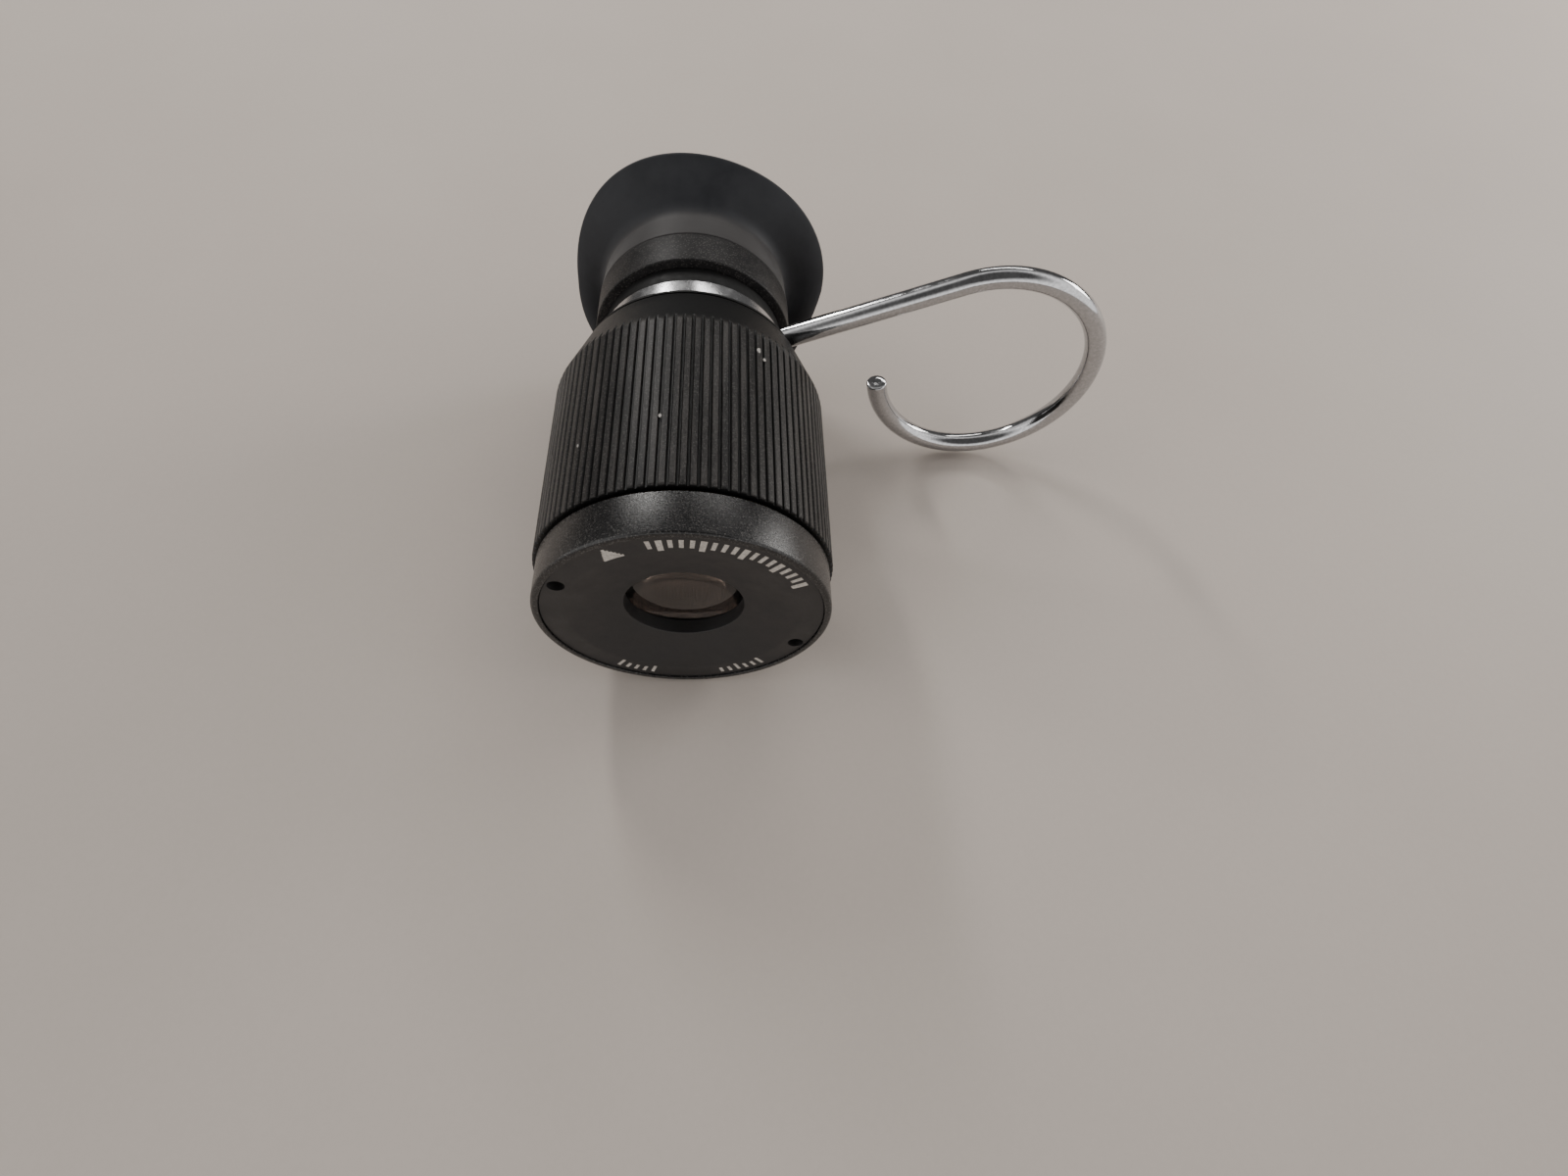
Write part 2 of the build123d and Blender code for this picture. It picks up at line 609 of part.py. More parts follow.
CUP_SEAM = 0.06  # gap between the eyecup and the band in front of it
CUP_WAIST_FILLET = 2.2
CUP_THROAT_FILLET = 1.5
CUP_RIM_FILLET = 0.4
with BuildPart() as eyecup:
    with BuildSketch(Plane.XY) as cup_section:
        Polygon(
            (EYE_BOSS_R + SEAT, EYE_BAND_REAR_Y + CUP_SEAM),
            (EYE_BAND_R, EYE_BAND_REAR_Y + CUP_SEAM),
            CUP_WAIST,
            CUP_RIM,
            CUP_RIM_REAR,
            CUP_THROAT,
            (CUP_MOUTH_R, CUP_THROAT[1]),
            (CUP_MOUTH_R, EYE_BOSS_REAR_Y + SEAT),
            (EYE_BOSS_R + SEAT, EYE_BOSS_REAR_Y + SEAT),
            (EYE_BOSS_R + SEAT, CUP_GROOVE[1] - RUN),
            (CUP_GROOVE[2] + RUN, CUP_GROOVE[1] - RUN),
            (CUP_GROOVE[2] + RUN, CUP_GROOVE[0] + RUN),
            (EYE_BOSS_R + SEAT, CUP_GROOVE[0] + RUN),
            align=None,
        )
        fillet(near(cup_section, CUP_WAIST), CUP_WAIST_FILLET)
        fillet(near(cup_section, CUP_THROAT), CUP_THROAT_FILLET)
        fillet(near(cup_section, CUP_RIM) + near(cup_section, CUP_RIM_REAR), CUP_RIM_FILLET)
    revolve(axis=Axis.Y)
save(eyecup.part, "eyecup")
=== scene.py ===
"""Looks of a pocket monocular with a knurled focusing sleeve and a wire finger ring.

Lengths are in millimetres until a mesh is made. The optical axis is the Y axis, with the objective at
-Y and the eye at +Y. Z is up, and the finger ring stands out towards +X.
"""

import json
import math

import bmesh
import bpy
import numpy as np
from mathutils import Matrix, Vector


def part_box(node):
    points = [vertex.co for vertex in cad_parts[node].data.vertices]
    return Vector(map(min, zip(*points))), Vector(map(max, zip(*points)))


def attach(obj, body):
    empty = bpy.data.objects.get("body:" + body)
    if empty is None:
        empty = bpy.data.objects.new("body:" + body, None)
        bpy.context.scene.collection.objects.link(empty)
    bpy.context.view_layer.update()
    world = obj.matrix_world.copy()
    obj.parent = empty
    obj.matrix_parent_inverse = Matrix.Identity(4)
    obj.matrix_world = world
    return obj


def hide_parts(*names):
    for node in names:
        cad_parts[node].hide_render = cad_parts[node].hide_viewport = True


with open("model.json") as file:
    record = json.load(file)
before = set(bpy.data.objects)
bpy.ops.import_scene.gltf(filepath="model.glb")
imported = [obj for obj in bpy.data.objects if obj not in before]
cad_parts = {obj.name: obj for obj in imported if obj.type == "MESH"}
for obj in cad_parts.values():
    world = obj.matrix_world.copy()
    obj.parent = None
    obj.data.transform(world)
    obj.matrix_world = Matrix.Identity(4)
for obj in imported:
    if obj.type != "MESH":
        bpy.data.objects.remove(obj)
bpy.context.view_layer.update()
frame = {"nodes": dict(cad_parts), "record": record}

MM = 0.001
SEGMENTS = 256  # facets round a plain turned piece


def box_mm(node):
    """Lowest and highest corner of a CAD node in millimetres."""
    low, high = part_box(node)
    return low / MM, high / MM


# ---------------------------------------------------------------------------------- mesh helpers
def rounded(points, radius=0.12, steps=5):
    """Closed outline with each corner turned into an arc. A point may carry its own radius third."""
    outline = []
    for index, point in enumerate(points):
        here = Vector(point[:2])
        before = Vector(points[index - 1][:2])
        after = Vector(points[(index + 1) % len(points)][:2])
        size = point[2] if len(point) > 2 else radius
        back, on = before - here, after - here
        turn = back.angle(on) / 2
        if size <= 0 or abs(turn - math.pi / 2) < 1e-3:
            outline.append(tuple(here))
            continue
        reach = min(size / math.tan(turn), 0.45 * back.length, 0.45 * on.length)
        size = reach * math.tan(turn)
        centre = here + (back.normalized() + on.normalized()).normalized() * (size / math.sin(turn))
        first = here + back.normalized() * reach - centre
        last = here + on.normalized() * reach - centre
        sweep = first.angle_signed(last)
        for step in range(steps + 1):
            angle = -sweep * step / steps
            turned = Matrix.Rotation(angle, 2) @ first
            outline.append(tuple(centre + turned))
    return outline


def mesh_piece(name, vertices_mm, faces, sharp_deg=35):
    """Object of that mesh, smooth except at sharp edges, with its normals pointing out."""
    mesh = bpy.data.meshes.new(name)
    mesh.from_pydata([tuple(v) for v in np.asarray(vertices_mm) * MM], [], faces)
    tidy = bmesh.new()
    tidy.from_mesh(mesh)
    bmesh.ops.remove_doubles(tidy, verts=tidy.verts, dist=1e-7)
    bmesh.ops.recalc_face_normals(tidy, faces=tidy.faces)
    tidy.to_mesh(mesh)
    tidy.free()
    mesh.shade_smooth()
    mesh.set_sharp_from_angle(angle=math.radians(sharp_deg))
    piece = bpy.data.objects.new(name, mesh)
    bpy.context.scene.collection.objects.link(piece)
    return piece


def lathe(name, outline, angles=None, radius_at=None):
    """Closed piece turned about the optical axis from (radius, y) points.

    radius_at(radius, index) may return an array of radii, one for each angle, for the point at index.
    """
    if angles is None:
        angles = np.linspace(0, 2 * math.pi, SEGMENTS, endpoint=False)
    count = len(angles)
    rings = []
    for index, (radius, y) in enumerate(outline):
        radii = radius_at(radius, index) if radius_at else radius
        ring = np.zeros((count, 3))
        ring[:, 0] = radii * np.cos(angles)
        ring[:, 1] = y
        ring[:, 2] = radii * np.sin(angles)
        rings.append(ring)
    faces = []
    for index in range(len(outline)):
        here, there = index * count, (index + 1) % len(outline) * count
        if outline[index][0] < 1e-6 and outline[(index + 1) % len(outline)][0] < 1e-6:
            continue
        for step in range(count):
            after = (step + 1) % count
            faces.append((here + step, here + after, there + after, there + step))
    return mesh_piece(name, np.concatenate(rings), faces)


def carve(piece, *cutters):
    """Cut closed pieces out of a piece, and remove them."""
    for cutter in cutters:
        cut = piece.modifiers.new("cut", "BOOLEAN")
        cut.operation = "DIFFERENCE"
        cut.solver = "EXACT"
        cut.object = cutter
    bpy.context.view_layer.update()
    shape = bpy.data.meshes.new_from_object(piece.evaluated_get(bpy.context.evaluated_depsgraph_get()))
    piece.modifiers.clear()
    piece.data = shape
    shape.set_sharp_from_angle(angle=math.radians(35))
    for cutter in cutters:
        bpy.data.objects.remove(cutter)
    return piece


def rod(name, start, end, radius, sides=48):
    """Plain closed rod between two points, used as a cutter."""
    start, end = Vector(start), Vector(end)
    way = (end - start).normalized()
    side = way.orthogonal().normalized()
    other = way.cross(side)
    vertices = []
    for centre in (start, end):
        for step in range(sides):
            angle = 2 * math.pi * step / sides
            vertices.append(centre + radius * (math.cos(angle) * side + math.sin(angle) * other))
    faces = [(s, (s + 1) % sides, sides + (s + 1) % sides, sides + s) for s in range(sides)]
    faces += [tuple(range(sides)), tuple(range(sides, 2 * sides))]
    return mesh_piece(name, [tuple(v) for v in vertices], faces)


# ------------------------------------------------------------------------------------- materials
class Look:
    """One material and the node-building calls that its recipe uses."""

    def __init__(self, name, colour, metallic=0.0, roughness=0.5, **sockets):
        self.material = bpy.data.materials.new(name)
        self.material.use_nodes = True
        self.tree = self.material.node_tree
        self.shader = self.tree.nodes["Principled BSDF"]
        self.shader.inputs["Base Color"].default_value = (*colour, 1)
        self.shader.inputs["Metallic"].default_value = metallic
        self.shader.inputs["Roughness"].default_value = roughness
        for socket, value in sockets.items():
            self.shader.inputs[socket.replace("_", " ")].default_value = value
        self.place = self.add("ShaderNodeTexCoord").outputs["Object"]

    def add(self, kind, **settings):
        node = self.tree.nodes.new(kind)
        for key, value in settings.items():
            setattr(node, key, value)
        return node

    def link(self, source, target):
        self.tree.links.new(source, target)

    def stretched(self, scale):
        """Object coordinates scaled by a vector, to draw a texture out along an axis."""
        mapping = self.add("ShaderNodeMapping")
        mapping.inputs["Scale"].default_value = scale
        self.link(self.place, mapping.inputs["Vector"])
        return mapping.outputs["Vector"]

    def noise(self, size_mm, detail=2.0, roughness=0.5, place=None):
        """Noise whose features are about that many millimetres across."""
        node = self.add("ShaderNodeTexNoise")
        node.inputs["Scale"].default_value = 1 / (size_mm * MM)
        node.inputs["Detail"].default_value = detail
        node.inputs["Roughness"].default_value = roughness
        self.link(place or self.place, node.inputs["Vector"])
        return node.outputs["Fac"]

    def specks(self, size_mm, radius):
        """1 inside small round specks of a random pattern, 0 elsewhere."""
        node = self.add("ShaderNodeTexVoronoi")
        node.inputs["Scale"].default_value = 1 / (size_mm * MM)
        self.link(self.place, node.inputs["Vector"])
        return self.ranged(node.outputs["Distance"], radius, radius * 0.6, 0, 1)

    def ranged(self, value, low, high, to_low, to_high):
        node = self.add("ShaderNodeMapRange")
        for socket, number in (
            ("From Min", low),
            ("From Max", high),
            ("To Min", to_low),
            ("To Max", to_high),
        ):
            node.inputs[socket].default_value = number
        self.link(value, node.inputs["Value"])
        return node.outputs["Result"]

    def maths(self, operation, first, second):
        node = self.add("ShaderNodeMath", operation=operation)
        for socket, value in zip(node.inputs, (first, second)):
            if isinstance(value, (int, float)):
                socket.default_value = value
            else:
                self.link(value, socket)
        return node.outputs["Value"]

    def mixed(self, factor, first, second):
        """Colour between two colours, each a tuple or another node's output."""
        node = self.add("ShaderNodeMix", data_type="RGBA")
        self.link(factor, node.inputs["Factor"])
        sockets = [s for s in node.inputs if s.type == "RGBA"]
        for socket, value in zip(sockets, (first, second)):
            if isinstance(value, tuple):
                socket.default_value = (*value, 1)
            else:
                self.link(value, socket)
        return [s for s in node.outputs if s.type == "RGBA"][0]

    def axis_distance(self):
        """Distance from the optical axis in metres."""
        parts = self.add("ShaderNodeSeparateXYZ")
        self.link(self.place, parts.inputs["Vector"])
        flat = self.add("ShaderNodeCombineXYZ")
        self.link(parts.outputs["X"], flat.inputs["X"])
        self.link(parts.outputs["Z"], flat.inputs["Z"])
        length = self.add("ShaderNodeVectorMath", operation="LENGTH")
        self.link(flat.outputs["Vector"], length.inputs[0])
        return length.outputs["Value"]

    def bump(self, height, depth_mm, strength=1.0):
        node = self.add("ShaderNodeBump")
        node.inputs["Strength"].default_value = strength
        node.inputs["Distance"].default_value = depth_mm * MM
        self.link(height, node.inputs["Height"])
        self.link(node.outputs["Normal"], self.shader.inputs["Normal"])

    def colour(self, output):
        self.link(output, self.shader.inputs["Base Color"])

    def rough(self, output):
        self.link(output, self.shader.inputs["Roughness"])


PAINTED_GLINT = (0.065, 0.061, 0.058)  # painted glints: pale specks that stand for facets of the blasted surface catching the light


def blasted_black(name, colour, lighter, roughness, gloss=0.5, grain_mm=0.15, drawn=1.0):
    """Bead-blasted and black anodised aluminium, with pale specks painted in all over as glints."""
    look = Look(name, colour, roughness=roughness, Specular_IOR_Level=gloss)
    grain = look.noise(grain_mm, detail=4, roughness=0.75)
    cloud = look.noise(1.2, detail=4, place=look.stretched((1, drawn, 1)))
    tone = look.maths("ADD", look.maths("MULTIPLY", grain, 0.6), look.maths("MULTIPLY", cloud, 0.4))
    clouded = look.mixed(look.ranged(tone, 0.44, 0.62, 0, 1), colour, lighter)
    # painted glints: pale specks mixed into the colour over the whole surface
    look.colour(look.mixed(look.specks(0.26, 0.36), clouded, PAINTED_GLINT))
    look.rough(look.ranged(grain, 0.35, 0.65, roughness - 0.08, roughness + 0.1))
    look.bump(grain, 0.020, 1.0)
    return look


GROOVE_PAINTED_SHADE = (0.003, 0.003, 0.003)
GROOVE_SHADE_FULL_R = 15.14  # painted shade: the grooves are black below this radius, fading out towards the crest
GROOVE_SHADE_GONE_R = 15.36


def anodised_sleeve():
    """The same finish on the ribs, painted black towards the groove floors as painted shade, so that the
    crests stand out paler.
    """
    look = blasted_black(
        "anodised_sleeve", (0.007, 0.0065, 0.0065), (0.052, 0.047, 0.044), 0.42, gloss=0.28, drawn=0.12
    )
    # painted shade: the colour goes black in the grooves, by distance from the axis
    crest = look.ranged(look.axis_distance(), GROOVE_SHADE_FULL_R * MM, GROOVE_SHADE_GONE_R * MM, 0, 1)
    base = look.shader.inputs["Base Color"].links[0].from_socket
    look.colour(look.mixed(crest, GROOVE_PAINTED_SHADE, base))
    return look.material


def anodised_band():
    """The front band: the same finish, glossier, with no wear."""
    return blasted_black("anodised_band", (0.005, 0.0047, 0.005), (0.015, 0.014, 0.014), 0.24).material


def plate_paint():
    """Flat black paint on the front plate, with a fine grain and a little dust."""
    look = Look("plate_paint", (0.016, 0.015, 0.015), roughness=0.5)
    grain = look.noise(0.12, detail=3, roughness=0.7)
    look.colour(look.mixed(look.ranged(grain, 0.3, 0.7, 0, 1), (0.011, 0.010, 0.010), (0.024, 0.022, 0.022)))
    look.rough(look.ranged(look.noise(3, detail=4), 0.3, 0.7, 0.42, 0.6))
    look.bump(grain, 0.012, 0.6)
    return look.material


def printed_ink():
    """Pale screen-printed ink, a little uneven."""
    look = Look("printed_ink", (0.46, 0.43, 0.39), roughness=0.6)
    tone = look.noise(0.22, detail=4, roughness=0.7)
    look.colour(look.mixed(look.ranged(tone, 0.35, 0.65, 0, 1), (0.34, 0.31, 0.28), (0.58, 0.54, 0.49)))
    look.bump(tone, 0.005, 0.4)
    return look.material


def satin_black():
    """The eyepiece band's duller black."""
    dark, pale = (0.011, 0.0105, 0.011), (0.026, 0.024, 0.024)
    return blasted_black("satin_black", dark, pale, 0.44, gloss=0.22).material


def matt_black(name="matt_black"):
    """Dead black, as inside the instrument and on the washer."""
    look = Look(name, (0.003, 0.003, 0.003), roughness=0.6, Specular_IOR_Level=0.3)
    look.rough(look.ranged(look.noise(0.8, detail=3), 0.3, 0.7, 0.5, 0.7))
    look.bump(look.noise(0.2), 0.01, 0.4)
    return look.material


def chromed_steel(name="chromed_steel", duller=0.0):
    """Bright plating: nearly a mirror, with orange peel and rubbed patches."""
    look = Look(name, (0.50, 0.50, 0.51), metallic=1, roughness=0.12 + duller)
    rub = look.noise(2.2, detail=5, roughness=0.65)
    fine = look.noise(0.35, detail=4, roughness=0.7)
    look.rough(look.ranged(rub, 0.42, 0.72, 0.07 + duller, 0.22 + duller))
    look.colour(look.mixed(look.ranged(fine, 0.3, 0.75, 0, 1), (0.40, 0.40, 0.41), (0.60, 0.60, 0.61)))
    waviness = look.maths("ADD", look.maths("MULTIPLY", rub, 0.6), look.maths("MULTIPLY", fine, 0.4))
    look.bump(waviness, 0.03, 0.4)
    return look.material


CUP_BASE_END_Y = 46.2  # the base of the cup, browner and painted paler as painted light, fades into its flare over this stretch
CUP_FLARE_START_Y = 47.4


def eyecup_rubber():
    """Moulded blue-black rubber, browner and a little glossier round its base, which is also painted paler
    there as painted light from the lamps behind.
    """
    look = Look(
        "eyecup_rubber",
        (0.013, 0.014, 0.017),
        roughness=0.55,
        Specular_IOR_Level=0.24,
        Sheen_Weight=0.3,
        Sheen_Roughness=0.4,
    )
    parts = look.add("ShaderNodeSeparateXYZ")
    look.link(look.place, parts.inputs["Vector"])
    cup = look.ranged(parts.outputs["Y"], CUP_BASE_END_Y * MM, CUP_FLARE_START_Y * MM, 0, 1)
    cloud = look.noise(4, detail=5, roughness=0.6)
    fine = look.noise(0.16, detail=3)
    shade = look.ranged(cloud, 0.3, 0.7, 0, 1)
    # painted light: the base is painted paler than the flare, where the lamps fall on it
    base = look.mixed(shade, (0.020, 0.018, 0.018), (0.032, 0.029, 0.029))
    flare = look.mixed(shade, (0.015, 0.016, 0.019), (0.027, 0.028, 0.032))
    look.colour(look.mixed(cup, base, flare))
    gloss = look.ranged(cloud, 0.3, 0.7, 0.0, 0.14)
    look.rough(look.maths("ADD", gloss, look.ranged(cup, 0, 1, 0.44, 0.50)))
    look.bump(fine, 0.014, 0.4)
    return look.material


def coated_glass(name, tint=(0.48, 0.41, 0.37)):
    """Lens glass with a faint warm coating, and darkened to stand for what the prisms keep back."""
    look = Look(
        name,
        tint,
        roughness=0.02,
        Transmission_Weight=1.0,
        IOR=1.55,
        Coat_Weight=0.08,
        Coat_Roughness=0.03,
        Coat_IOR=1.6,
        Coat_Tint=(0.90, 0.80, 0.74, 1),
    )
    look.rough(look.ranged(look.noise(4, detail=4), 0.35, 0.75, 0.01, 0.05))
    return look.material


def turned_metal(name, colour, roughness):
    """Lathe-turned metal with fine rings about the optical axis."""
    look = Look(name, colour, metallic=1, roughness=roughness)
    rings = look.noise(0.12, detail=2, place=look.stretched((1, 6, 1)))
    look.rough(look.ranged(rings, 0.3, 0.7, roughness - 0.08, roughness + 0.1))
    look.bump(rings, 0.006, 0.4)
    return look.material


def grease_rubber():
    """Black seal rubber with a film of grease."""
    look = Look("grease_rubber", (0.03, 0.03, 0.03), roughness=0.35)
    look.rough(look.ranged(look.noise(1, detail=3), 0.3, 0.7, 0.25, 0.5))
    return look.material


def bare_chip():
    """Scuffed bare aluminium and lint, seen only as tiny pale specks."""
    look = Look("bare_chip", (0.42, 0.40, 0.37), roughness=0.5)
    tone = look.noise(0.08, detail=3)
    look.colour(look.mixed(look.ranged(tone, 0.3, 0.7, 0, 1), (0.30, 0.28, 0.26), (0.60, 0.57, 0.53)))
    look.bump(tone, 0.01, 0.6)
    return look.material


def table_top():
    """Plain pale table, very slightly mottled."""
    look = Look("table_top", (0.603, 0.536, 0.482), roughness=0.65, Specular_IOR_Level=0.3)
    cloud = look.noise(30, detail=3)
    fine = look.noise(0.6, detail=3)
    tone = look.maths("ADD", look.maths("MULTIPLY", cloud, 0.6), look.maths("MULTIPLY", fine, 0.4))
    look.colour(look.mixed(look.ranged(tone, 0.3, 0.7, 0, 1), (0.588, 0.521, 0.468), (0.619, 0.550, 0.495)))
    return look.material


LOOKS = {
    "black_anodised": anodised_band(),
    "black_anodised_inner": matt_black(),
    "matt_black": plate_paint(),
    "satin_black": satin_black(),
    "coated_glass": coated_glass("coated_glass"),
    "clear_glass": coated_glass("clear_glass", (0.96, 0.98, 0.97)),
    "steel": turned_metal("turned_steel", (0.55, 0.55, 0.56), 0.3),
    "brass_ring": turned_metal("turned_brass", (0.72, 0.52, 0.24), 0.28),
    "cage_metal": blasted_black("cage_metal", (0.05, 0.05, 0.05), (0.09, 0.09, 0.09), 0.5).material,
    "chromed_steel": chromed_steel(),
    "seal_rubber": grease_rubber(),
    "washer_black": matt_black("washer_black"),
    "eyecup_rubber": eyecup_rubber(),
}
SLEEVE_LOOK = anodised_sleeve()
INK = printed_ink()
BARE_CHIP = bare_chip()
HUB_CHROME = chromed_steel("hub_chrome", 0.13)
DEEP_BLACK = LOOKS["black_anodised_inner"]

slot_of = {part["node"]: part["material_slot"] for part in frame["record"]["subparts"]}
body_of = {
    node: body for body, nodes in frame["record"]["behaviour"]["bodies"].items() for node in nodes
}
for node, thing in frame["nodes"].items():
    thing.data.materials.clear()
    thing.data.materials.append(LOOKS[slot_of[node]])


def ride_along(piece, node, look):
    """The piece moves with that CAD node's body, in its material slot."""
    piece.data.materials.clear()
    piece.data.materials.append(look)
    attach(piece, body_of[node])


def finish_piece(piece, node, look=None):
    """The piece takes that CAD node's place."""
    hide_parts(node)
    ride_along(piece, node, look or LOOKS[slot_of[node]])


# ---------------------------------------------------------------------------- objective, front end
tube_low, tube_high = box_mm("objective_tube")
plate_low, plate_high = box_mm("front_plate")
crown_low, crown_high = box_mm("objective_crown_lens")
FRONT_Y = tube_low.y
BAND_R = tube_high.x
BAND_REAR_Y = FRONT_Y + 4.6
RIM_INNER_R = BAND_R - 0.76
LENS_R = crown_high.x
TUBE_R = 12.3
TUBE_BORE_R = 10.6
APERTURE_R = 6.1
CELL_REAR_Y = FRONT_Y + 6.7
CELL_BOSS_R = 8.3
PLATE_REAR_Y = -0.2


def objective_tube():
    outline = rounded(
        [
            (RIM_INNER_R, FRONT_Y, 0.08),
            (BAND_R, FRONT_Y, 0.42),
            (BAND_R, BAND_REAR_Y, 0.14),
            (TUBE_R, BAND_REAR_Y, 0.1),
            (TUBE_R, tube_high.y, 0.15),
            (TUBE_BORE_R, tube_high.y, 0.1),
            (TUBE_BORE_R, BAND_REAR_Y, 0.2),
            (CELL_BOSS_R, BAND_REAR_Y, 0.2),
            (CELL_BOSS_R, CELL_REAR_Y + 0.8, 0.1),
            (APERTURE_R, CELL_REAR_Y + 0.8, 0.1),
            (APERTURE_R, CELL_REAR_Y, 0.05),
            (LENS_R + 0.05, CELL_REAR_Y, 0),
            (LENS_R + 0.05, PLATE_REAR_Y, 0),
            (RIM_INNER_R, PLATE_REAR_Y, 0),
        ]
    )
    piece = lathe("objective_barrel_front", outline)
    finish_piece(piece, "objective_tube")


objective_tube()

DISH_R = 11.8
DISH_Y = plate_low.y + 1.35
SPANNER_R = 13.1
SPANNER_HOLE_R = 0.85
SPANNER_DEPTH = 1.2
SPANNER_ANGLE = math.radians(153.5)


def front_plate():
    """Dished ring with two spanner holes and a bevelled edge round the lens."""
    outline = rounded(
        [
            (DISH_R, plate_low.y, 2.5),
            (plate_high.x, plate_low.y, 0.08),
            (plate_high.x, PLATE_REAR_Y - 0.02, 0),
            (LENS_R - 0.02, PLATE_REAR_Y - 0.02, 0),
            (LENS_R - 0.02, plate_high.y, 0),
            (APERTURE_R, plate_high.y, 0),
            (APERTURE_R, DISH_Y, 0.1),
        ],
        steps=8,
    )
    piece = lathe("front_plate_dished", outline)
    cutters = []
    for turn in (0, math.pi):
        x = SPANNER_R * math.cos(SPANNER_ANGLE + turn)
        z = SPANNER_R * math.sin(SPANNER_ANGLE + turn)
        mouth, end = (x, plate_low.y - 1, z), (x, plate_low.y + SPANNER_DEPTH, z)
        cutters.append(rod(f"hole_{len(cutters)}", mouth, end, SPANNER_HOLE_R))
    finish_piece(carve(piece, *cutters), "front_plate")


front_plate()


def surface_y(vertex_y, curve_r, radius):
    """Where a spherical surface stands at that distance from the axis."""
    return vertex_y + curve_r - math.copysign(math.sqrt(curve_r**2 - radius**2), curve_r)


def lens(name, node, radius, front, rear):
    """Lens from two surfaces, each (vertex y, curve radius), or curve radius 0 for a plane."""

    def points(vertex_y, curve_r):
        radii = np.linspace(0, radius, 25)
        return [(r, surface_y(vertex_y, curve_r, r) if curve_r else vertex_y) for r in radii]

    outline = points(*front) + points(*rear)[::-1]
    finish_piece(lathe(name, outline), node)


lens("objective_front_lens", "objective_crown_lens", LENS_R, (0.2, 30), (3.15, -22))
lens("objective_rear_lens", "objective_flint_lens", LENS_R, (3.16, -22), (4.38, 0))


MARK_OUTER_R = 13.6
MARK_HEIGHT = 0.015
TICK_STEP = 4.3  # degrees from one tick to the next


def arc_bar(vertices, faces, angle_deg, width_deg, inner_r, outer_r):
    """Add a thin bar that follows the rim, lying on the plate and sunk a little into it."""
    steps = max(2, int(width_deg / 1.5) + 1)
    start = len(vertices)
    for depth in (plate_low.y + 0.01, plate_low.y - MARK_HEIGHT):
        for radius in (inner_r, outer_r):
            for step in range(steps + 1):
                angle = math.radians(angle_deg - width_deg / 2 + width_deg * step / steps)
                vertices.append((radius * math.cos(angle), depth, radius * math.sin(angle)))
    row = steps + 1
    for step in range(steps):
        a, b, c, d = (start + k * row + step for k in range(4))
        faces.append((a, a + 1, b + 1, b))
        faces.append((c, c + 1, d + 1, d))
        faces.append((a, a + 1, c + 1, c))
        faces.append((b, b + 1, d + 1, d))
    for step in (0, steps):
        a, b, c, d = (start + k * row + step for k in range(4))
        faces.append((a, b, d, c))


def marks():
    """Generic graduations: a scale along the upper arc, an index triangle and two short groups below."""
    vertices, faces = [], []
    for index in range(18):
        long = index % 4 == 0
        width = 2.6 if long else 1.9
        inner_r = 12.0 if long else 12.4
        arc_bar(vertices, faces, 28 + index * TICK_STEP, width, inner_r, MARK_OUTER_R)
    row_height = 0.27
    for row in range(6):
        inner_r = 12.05 + row_height * row
        arc_bar(vertices, faces, 118 + 0.2 * row, 10 - 1.75 * row, inner_r, inner_r + row_height)
    for first_deg, count, long_every in ((-52, 6, 3), (-108, 5, 4)):
        for index in range(count):
            inner_r = 12.5 if index % long_every else 12.1
            arc_bar(vertices, faces, first_deg - index * TICK_STEP, 1.6, inner_r, MARK_OUTER_R - 0.1)
    ride_along(mesh_piece("front_plate_marks", vertices, faces), "front_plate", INK)


marks()


# ------------------------------------------------------------------------------------ focus sleeve
sleeve_low, sleeve_high = box_mm("focus_sleeve")
CREST_R = sleeve_high.z
RIB_COUNT = 102
RIB_DEPTH = 0.32
KNURL_END_Y = 24.1
SLEEVE_REAR_R = 13.2
SLEEVE_BORE_R = 13.65
JOURNAL_BORE_R = 12.1
COUNTERBORE_R = 14.4
COUNTERBORE_Y = 4.7  # the lock ring's recess ends here
THRUST_Y = 23.0
# One rib as (share of the pitch from its middle, share of the rib's depth): flat crest, steep sides.
RIB_SHAPE = (
    (-0.26, 0.0),
    (-0.09, 0.0),
    (0.09, 0.0),
    (0.26, 0.0),
    (0.30, 0.12),
    (0.345, 0.75),
    (0.40, 0.96),
    (0.50, 1.0),
    (0.60, 0.96),
    (0.655, 0.75),
    (0.70, 0.12),
)


